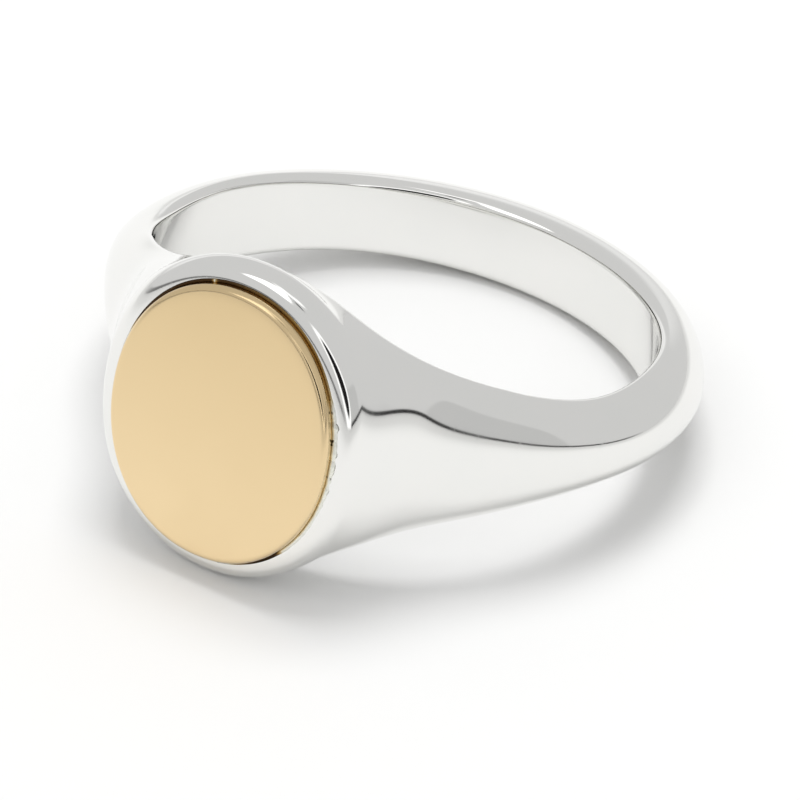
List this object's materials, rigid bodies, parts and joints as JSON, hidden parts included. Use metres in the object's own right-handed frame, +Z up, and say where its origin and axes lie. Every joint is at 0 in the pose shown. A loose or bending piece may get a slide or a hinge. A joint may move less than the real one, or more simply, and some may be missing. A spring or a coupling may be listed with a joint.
{
  "type": "signet ring",
  "caption": "Polished silver signet ring with a plain oval yellow gold face plate let into its head, lying on its side at rest.",
  "frame": {"origin": "centre of the bounding box in plan, at the surface that the ring lies on", "axes": "+Z up from that surface, -Y towards the head and its gold face, X across the finger hole; the ring is symmetric about X = 0"},
  "size_m": [0.0218, 0.0234, 0.0114],
  "materials": {
    "polished_silver": "polished sterling silver with fine handling marks",
    "yellow_gold": "polished pale yellow gold, 14 to 18 carat",
    "solder": "pale silver-gold solder, slightly dull"
  },
  "bodies": {
    "root": {"silver_band": "polished_silver", "gold_face_plate": "yellow_gold", "solder_seam": "solder"}
  },
  "joints": []
}
